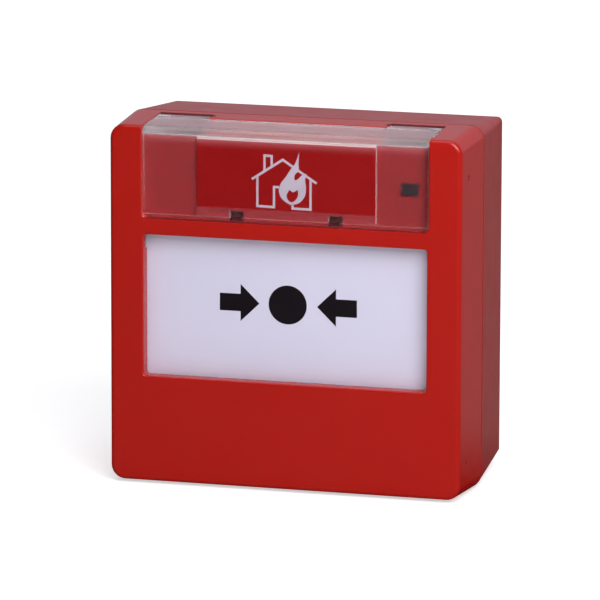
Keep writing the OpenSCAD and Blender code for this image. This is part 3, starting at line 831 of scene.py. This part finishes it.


def insert():
    """The card behind the window, with a flame in a house."""
    low, high = box_mm("symbol_insert")
    half = (high.x - low.x) / 2
    top = high.z + 0.3
    outline = rounded_rect(half, (top - low.z) / 2, 0.4, (0, (top + low.z) / 2))
    plate = prism_y(outline, low.y, high.y)
    slots = at_hooks(POCKET_HALF, 1, 4, 20, 23.2)
    carve(plate, *[("-", slot) for slot in slots])
    tidy_mesh(plate)
    round_edges(plate, 0.1, segments=2)
    cut_planes(plate, [((0, 0, top - RIM), (0, 0, 1))])
    # the face's upper band takes the core colour as a painted highlight of the window's bend; the edges show
    # the real core
    paint_faces(plate, lambda middle, normal: 0 if normal.y < -0.5 and middle.z < top - 0.6 else 1)
    piece(plate, "insert_plate", "cover", [deep_red, core_and_painted_highlight], ["symbol_insert"])
    width = 0.56
    lines = [
        stroke([(-8.55, 31.1), (-0.75, 36.05), (7.75, 30.85)], width),
        stroke([(-5.35, 33.3), (-5.35, 36.85), (-3.55, 36.8), (-3.55, 34.5)], width),
        stroke([(-7.15, 31.9), (-7.15, 24.75), (-2.95, 24.7), (-2.95, 29.5), (-1.7, 29.5)], width),
        stroke([(6.25, 31.6), (6.25, 24.55), (1.75, 24.6), (1.75, 25.4)], width),
    ]
    lines = [[(SYMBOL_X + (x - SYMBOL_X) * 0.965, z) for x, z in line] for line in lines]
    flame = bezier([(3.25, 38.0), (3.25, 38.0), (2.3, 35.4), (1.2, 33.9), (0.0, 32.0), (-1.2, 30.4),
                    (-1.65, 28.6), (-1.0, 26.9), (0.6, 25.7), (1.7, 25.5), (3.4, 26.1), (4.7, 27.8),
                    (4.9, 29.8), (4.7, 31.6), (5.1, 33.1), (5.1, 33.1), (3.9, 32.6), (3.0, 31.7),
                    (2.2, 31.4), (2.2, 32.6), (3.1, 33.7), (3.1, 35.6)])
    hollow = bezier([(2.9, 29.1), (2.9, 29.1), (1.8, 28.5), (0.9, 29.0), (0.9, 29.0), (0.2, 27.7),
                     (0.6, 26.5), (1.6, 26.1), (2.6, 26.9), (3.0, 28.0)])
    ink = print_on([flame], low.y - 0.03, 0.03, holes=[hollow])
    for i, line in enumerate(lines):
        other = print_on([line], low.y, 0.02 + 0.004 * i)
        bm = bmesh.new()
        bm.from_mesh(ink.data)
        bm.from_mesh(other.data)
        bm.to_mesh(ink.data)
        bm.free()
        discard(other)
    piece(ink, "insert_symbol", "cover", symbol_pale, ())


def lens():
    low, high = box_mm("indicator_lens")
    body = block(low, high)
    round_edges(body, 0.25, segments=3)
    piece(body, "lens_window", "cover", smoked, ["indicator_lens"])


# ---- parts inside ----

def refined(node):
    """A copy of a CAD node's shape in millimetres, as clean flat faces that can be rounded."""
    source = frame["nodes"][node].data
    bm = bmesh.new()
    bm.from_mesh(source)
    bmesh.ops.scale(bm, vec=(1 / MM,) * 3, verts=bm.verts)
    bmesh.ops.remove_doubles(bm, verts=bm.verts, dist=1e-3)
    bmesh.ops.dissolve_limit(bm, angle_limit=math.radians(0.5), verts=bm.verts, edges=bm.edges)
    return to_object(bm)


def joined(*shapes):
    """One object from several shapes that may touch but needn't be one solid."""
    bm = bmesh.new()
    for shape in shapes:
        bm.from_mesh(shape.data)
    for shape in shapes:
        discard(shape)
    return to_object(bm)


def coil(centre, axis, radius, wire, start_at, end_at, turns, sides=10, steps=20):
    """A spring wire along one axis, with its end turns closed up."""
    rings = []
    count = int(turns * steps)
    for i in range(count + 1):
        t = i / count
        eased = min(1, max(0, (t * turns - 0.8) / (turns - 1.6)))
        along = start_at + wire + (end_at - start_at - 2 * wire) * eased
        a = 2 * math.pi * i / steps
        ring = []
        for k in range(sides):
            b = 2 * math.pi * k / sides
            r = radius + wire * math.cos(b)
            d = along + wire * math.sin(b)
            u, v = r * math.cos(a), r * math.sin(a)
            local = {"Y": (u, d, v), "Z": (u, v, d)}[axis]
            ring.append(tuple(c + x for c, x in zip(centre, local)))
        rings.append(ring)
    return loft(rings)


PEG_END_X = 35.3


def shorten_pegs(flag, gap=0.1):
    """Draws the flag's peg ends back from the carrier's plate, whose sides they touch near full press."""
    for vert in flag.data.vertices:
        if abs(vert.co.x) < PEG_END_X + gap / 2:
            vert.co.x += math.copysign(gap, vert.co.x)


def plain_parts():
    """CAD shapes with rounded edges: node, piece name, material, slot name (not used) and edge radius."""
    rows = (
        ("chassis", "chassis_frame", chassis_white, "chassis_plastic", 0.2),
        ("chassis_screws", "chassis_screw_set", zinc, "zinc_steel", 0.12),
        ("board_screws", "board_screw_set", zinc, "zinc_steel", 0.08),
        ("terminal_block_left", "terminal_housing_left", terminal_green, "terminal_plastic", 0.15),
        ("terminal_block_right", "terminal_housing_right", terminal_green, "terminal_plastic", 0.15),
        ("terminal_screws", "terminal_screw_set", zinc, "zinc_steel", 0.08),
        ("microswitch_body", "microswitch_case", switch_black, "switch_plastic", 0.08),
        ("switch_plunger", "switch_button", plunger_red, "plunger_plastic", 0.15),
        ("switch_leaf", "switch_lever", spring_metal, "spring_steel", 0.05),
        ("status_led", "status_lamp", led_red, "led_lens", 0.12),
        ("pane_carrier", "carrier_frame", carrier_grey, "carrier_plastic", 0.12),
        ("operating_pane", "pane_plate", pane_white, "pane_plastic", 0.3),
        ("reset_barrel", "key_barrel_turned", barrel_black, "barrel_plastic", 0.12),
        ("barrel_clip", "barrel_circlip", zinc, "zinc_steel", 0.06),
        ("window_hinge_pins", "hinge_pin_pair", spring_metal, "spring_steel", 0.15),
        ("alarm_flag", "flag_bar", flag_paint, "flag_plastic", 0.12),
    )
    bodies = {node: body for body, nodes in frame["record"]["behaviour"]["bodies"].items() for node in nodes}
    for node, name, material, finish, width in rows:
        shape = refined(node)
        if node == "alarm_flag":
            shorten_pegs(shape)
        round_edges(shape, width, segments=2, angle=40)
        piece(shape, name, bodies[node], material, [node])


def springs():
    low, high = box_mm("pane_springs")
    x, z = high.x - 2.3, high.z - 2.3
    coils = [coil((sx * x, 0, sz * z), "Y", 2.05, 0.24, low.y, high.y, 6.5) for sx, sz in CORNERS]
    made = piece(joined(*coils), "pane_return_springs", "housing", spring_metal, ["pane_springs"],
                 angle=60)
    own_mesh(made)
    low, high = box_mm("reset_spring")
    middle = (low + high) / 2
    ring = coil((0, middle.y, 0), "Z", 3.8, 0.28, low.z, high.z, 2.6)
    piece(ring, "barrel_torsion_spring", "housing", spring_metal, ["reset_spring"], angle=60)


def board():
    front = box_mm("circuit_board")[0].y
    shape = refined("circuit_board")
    round_edges(shape, 0.1, segments=2, angle=40)
    piece(shape, "main_board", "housing", board_green, ["circuit_board"])
    pads = [turned([(1.15, front), (2.4, front), (2.4, front - 0.04), (1.15, front - 0.04)],
                   (sx * 26, 0, sz * 33.5), "Y") for sx, sz in CORNERS]
    pads += [turned([(0.25, front), (0.8, front), (0.7, front - 0.12), (0.25, front - 0.25)],
                    (-26 + 2.54 * i, 0, 18), "Y", 16) for i in range(8)]
    pads += [turned([(0.2, front), (0.6, front), (0.6, front - 0.05), (0.2, front - 0.05)],
                    (x, 0, z), "Y", 12) for x in (-28, -12, 24) for z in (-16, 2, 13)]
    piece(joined(*pads), "board_pads", "housing", gold_pad, ())
    legend = [stroke([(-25.2, -13.2), (-13.8, -13.2), (-13.8, -1.8), (-25.2, -1.8), (-25.2, -13.0)], 0.18)]
    for x in (-21, -10, 1):
        legend.append(stroke([(x - 0.4, 23.9), (x + 8.4, 23.9)], 0.18))
    legend.append(stroke([(12.8, 23), (21.2, 23), (21.2, 30.2), (12.8, 30.2), (12.8, 23.1)], 0.18))
    piece(print_on(legend, front, 0.03), "board_legend_print", "housing", silk_white, ())


def components():
    front = box_mm("circuit_board")[0].y
    low, high = box_mm("controller_chip")
    chip = block(low, high)
    round_edges(chip, 0.12, segments=2)
    corner_x, corner_z = low.x + 1.2, high.z - 1.2
    dimple = rod(0.5, (corner_x, low.y - 1, corner_z), (corner_x, low.y + 0.12, corner_z), "Y", 24)
    carve(chip, ("-", dimple))
    piece(chip, "controller_package", "housing", chip_black, ["controller_chip"])
    leads = []
    middle = (low + high) / 2
    for side in SIDES:
        for i in range(8):
            z = middle.z - 3.5 + i
            x = [middle.x + side * d for d in (4.4, 4.9, 5.1, 5.6)]
            path = [(x[0], front - 0.9), (x[1], front - 0.9), (x[2], front - 0.12), (x[3], front - 0.12)]
            outline = stroke(path, 0.18)
            leads.append(prism_z(outline, z - 0.2, z + 0.2))
    piece(joined(*leads), "controller_leads", "housing", tinned, ())
    cans, lids = [], []
    for x in (12, 20):
        profile = [(0.1, front), (2.5, front), (2.5, front - 0.9), (2.3, front - 1.15), (2.5, front - 1.4),
                   (2.5, front - 4.8), (2.35, front - 5.0), (0.1, front - 5.0)]
        cans.append(turned(profile, (x, 0, -7), "Y"))
        lid = prism_y(circle(2.1, (x, -7)), front - 5.06, front - 4.9)
        vent = [block((x - 1.6, front - 6, -7.12), (x + 1.6, front - 5.0, -6.88)),
                block((x - 0.12, front - 6, -8.6), (x + 0.12, front - 5.0, -5.4))]
        lids.append(carve(lid, *[("-", cut) for cut in vent]))
    piece(joined(*cans), "capacitor_cans", "housing", can_blue, ["board_components"])
    piece(joined(*lids), "capacitor_vents", "housing", tinned, ())
    bodies, ends = [], []
    for i in range(6):
        x = -24 + 4 * i
        bodies.append(block((x + 0.35, front - 0.62, 8), (x + 1.65, front - 0.02, 9.2)))
        ends += [block((x + a, front - 0.66, 7.97), (x + b, front, 9.23)) for a, b in ((0, 0.35), (1.65, 2))]
    for i in range(5):
        x = 10 + 3.4 * i
        bodies.append(block((x, front - 0.82, 4.5), (x + 1.6, front - 0.02, 6.7)))
        ends += [block((x - 0.03, front - 0.86, a), (x + 1.63, front, b)) for a, b in ((4, 4.5), (6.7, 7.2))]
    small_parts = ((bodies, "small_part_bodies", part_tan), (ends, "small_part_ends", tinned))
    for shapes, name, material in small_parts:
        shape = joined(*shapes)
        round_edges(shape, 0.06, segments=2)
        piece(shape, name, "housing", material, ())
    socket = carve(block((14, front - 2.4, 24), (20, front, 29)),
                   ("-", block((14.6, front - 4, 24.6), (19.4, front - 0.5, 28.4))))
    round_edges(socket, 0.1, segments=2)
    piece(socket, "test_socket", "housing", switch_black, ())
    pins = [block((14.9 + 1.2 * i, front - 2.2, 25 + 2 * k), (15.3 + 1.2 * i, front - 0.4, 25.4 + 2 * k))
            for i in range(4) for k in range(2)]
    piece(joined(*pins), "test_socket_pins", "housing", gold_pad, ())


def dials():
    front = box_mm("address_switch_bodies")[0].y
    shape = refined("address_switch_bodies")
    round_edges(shape, 0.15, segments=2, angle=40)
    piece(shape, "dial_housings", "housing", dial_grey, ["address_switch_bodies"])
    ticks = []
    for place in ("hundreds", "tens", "ones"):
        node = "address_dial_" + place
        low, high = box_mm(node)
        x, z = (low.x + high.x) / 2, (low.z + high.z) / 2
        for k in range(10):
            a = math.radians(36 * k)
            c, s = math.cos(a), math.sin(a)
            near, far = 2.75, 3.4 if k % 5 == 0 else 3.15
            ticks.append(stroke([(x + near * s, z + near * c), (x + far * s, z + far * c)], 0.2))
        dial = refined(node)
        arrow = prism_y([(x - 0.9, z + 0.9), (x + 0.9, z + 0.9), (x, z + 2.0)], low.y - 1, low.y + 0.5)
        carve(dial, ("-", arrow))
        round_edges(dial, 0.12, segments=2, angle=40)
        piece(dial, "dial_" + place, "dial_" + place, dial_orange, [node])
    piece(print_on(ticks, front, 0.03), "dial_ticks", "housing", print_black, ())


front_cover()
back_box()
window()
label()
insert()
lens()
plain_parts()
springs()
board()
components()
dials()


# ---- stage, light and camera ----

FLOOR_HALF = 3000
CAMERA_ANGLES = (15.75, 11.41, 0.15)  # yaw, pitch and roll in degrees
CAMERA_PIVOT = (0, -20, 0)
CAMERA_DISTANCE = 1432
CAMERA_SHIFT = (-3.37, -2.09)  # to the right and up


def direction(azimuth, elevation):
    """Unit vector from the object; azimuth 0 points to the front and 90 degrees to the right."""
    return Vector((math.sin(azimuth) * math.cos(elevation), -math.cos(azimuth) * math.cos(elevation),
                   math.sin(elevation)))


def blend(tree, factor, a, b):
    """Mixes two shaders."""
    made = add(tree, "ShaderNodeMixShader")
    for value, socket in zip((factor, a, b), made.inputs):
        tree.links.new(value, socket)
    return made.outputs[0]


def stage():
    floor_z = box_mm("front_cover")[0].z
    floor = block((-FLOOR_HALF, -FLOOR_HALF, floor_z - 20), (FLOOR_HALF, FLOOR_HALF, floor_z))
    floor.name = "floor"
    floor.data.transform(Matrix.Scale(MM, 4))
    made, tree, shader, coords = start("floor_pale")
    grain = noise(tree, coords, 8, 2.0)
    tree.links.new(mix(tree, grain, (0.88, 0.88, 0.89), (0.90, 0.90, 0.91)), shader.inputs["Base Color"])
    shader.inputs["Roughness"].default_value = 0.9
    shader.inputs["Specular IOR Level"].default_value = 0.0
    out = tree.nodes["Material Output"]
    path = add(tree, "ShaderNodeLightPath")
    depth = axes(tree, coords)["Y"]
    # painted reflection: for glossy rays the floor is only an emission, dark in front of the object and faint
    # behind it
    painted_floor_reflection = add(tree, "ShaderNodeEmission")
    tree.links.new(ramp(tree, depth, -0.03, 0.04, 0.0, 0.2), painted_floor_reflection.inputs["Strength"])
    glow = add(tree, "ShaderNodeEmission")
    tree.links.new(ramp(tree, depth, -0.3, 0.8, 0.45, 1.0), glow.inputs["Strength"])
    both = add(tree, "ShaderNodeAddShader")
    tree.links.new(shader.outputs[0], both.inputs[0])
    tree.links.new(glow.outputs[0], both.inputs[1])
    camera_side = blend(tree, path.outputs["Is Camera Ray"], shader.outputs[0], both.outputs[0])
    glossy_side = blend(tree, path.outputs["Is Glossy Ray"], camera_side, painted_floor_reflection.outputs[0])
    tree.links.new(glossy_side, out.inputs["Surface"])
    floor.data.materials.append(made)


def area_light(name, azimuth, elevation, distance, size, power, colour=(1, 1, 1)):
    """A square softbox aimed at the object; azimuth 0 is in front and 90 is at the right."""
    towards = direction(math.radians(azimuth), math.radians(elevation))
    data = bpy.data.lights.new(name, "AREA")
    data.shape = "RECTANGLE"
    data.size, data.size_y = size
    data.energy = power
    data.color = colour
    lamp = bpy.data.objects.new(name, data)
    lamp.location = towards * distance
    lamp.rotation_mode = "QUATERNION"
    lamp.rotation_quaternion = towards.to_track_quat("Z", "Y")
    scene.collection.objects.link(lamp)
    return lamp


def world():
    made = bpy.data.worlds.new("studio")
    scene.world = made
    made.use_nodes = True
    tree = made.node_tree
    background = tree.nodes["Background"]
    coords = add(tree, "ShaderNodeTexCoord").outputs["Generated"]
    back = ramp(tree, axes(tree, coords)["Y"], -0.2, 0.9, 0.0, 1.0)
    tree.links.new(mix(tree, back, (0.03, 0.03, 0.03), (0.42, 0.42, 0.47)), background.inputs["Color"])
    background.inputs["Strength"].default_value = 1.0


def camera():
    yaw, pitch, roll = (math.radians(a) for a in CAMERA_ANGLES)
    back = direction(yaw, pitch)
    right = Vector((math.cos(yaw), math.sin(yaw), 0))
    up = back.cross(right)
    turned_right = math.cos(roll) * right + math.sin(roll) * up
    turned_up = math.cos(roll) * up - math.sin(roll) * right
    place = Vector(CAMERA_PIVOT) + CAMERA_DISTANCE * back
    place += CAMERA_SHIFT[0] * turned_right
    place += CAMERA_SHIFT[1] * turned_up
    data = bpy.data.cameras.new("camera")
    data.lens = 360
    data.sensor_width = 36
    data.clip_start = 0.05
    data.clip_end = 20
    made = bpy.data.objects.new("camera", data)
    facing = Matrix((turned_right, turned_up, back)).transposed().to_4x4()
    made.matrix_world = Matrix.Translation(place * MM) @ facing
    scene.collection.objects.link(made)
    scene.camera = made


stage()
world()
area_light("key", 32, 34, 0.55, (0.35, 0.35), 2.3)
area_light("top", 0, 80, 0.8, (0.6, 0.6), 1.6)
camera()
scene.view_settings.view_transform = "Standard"
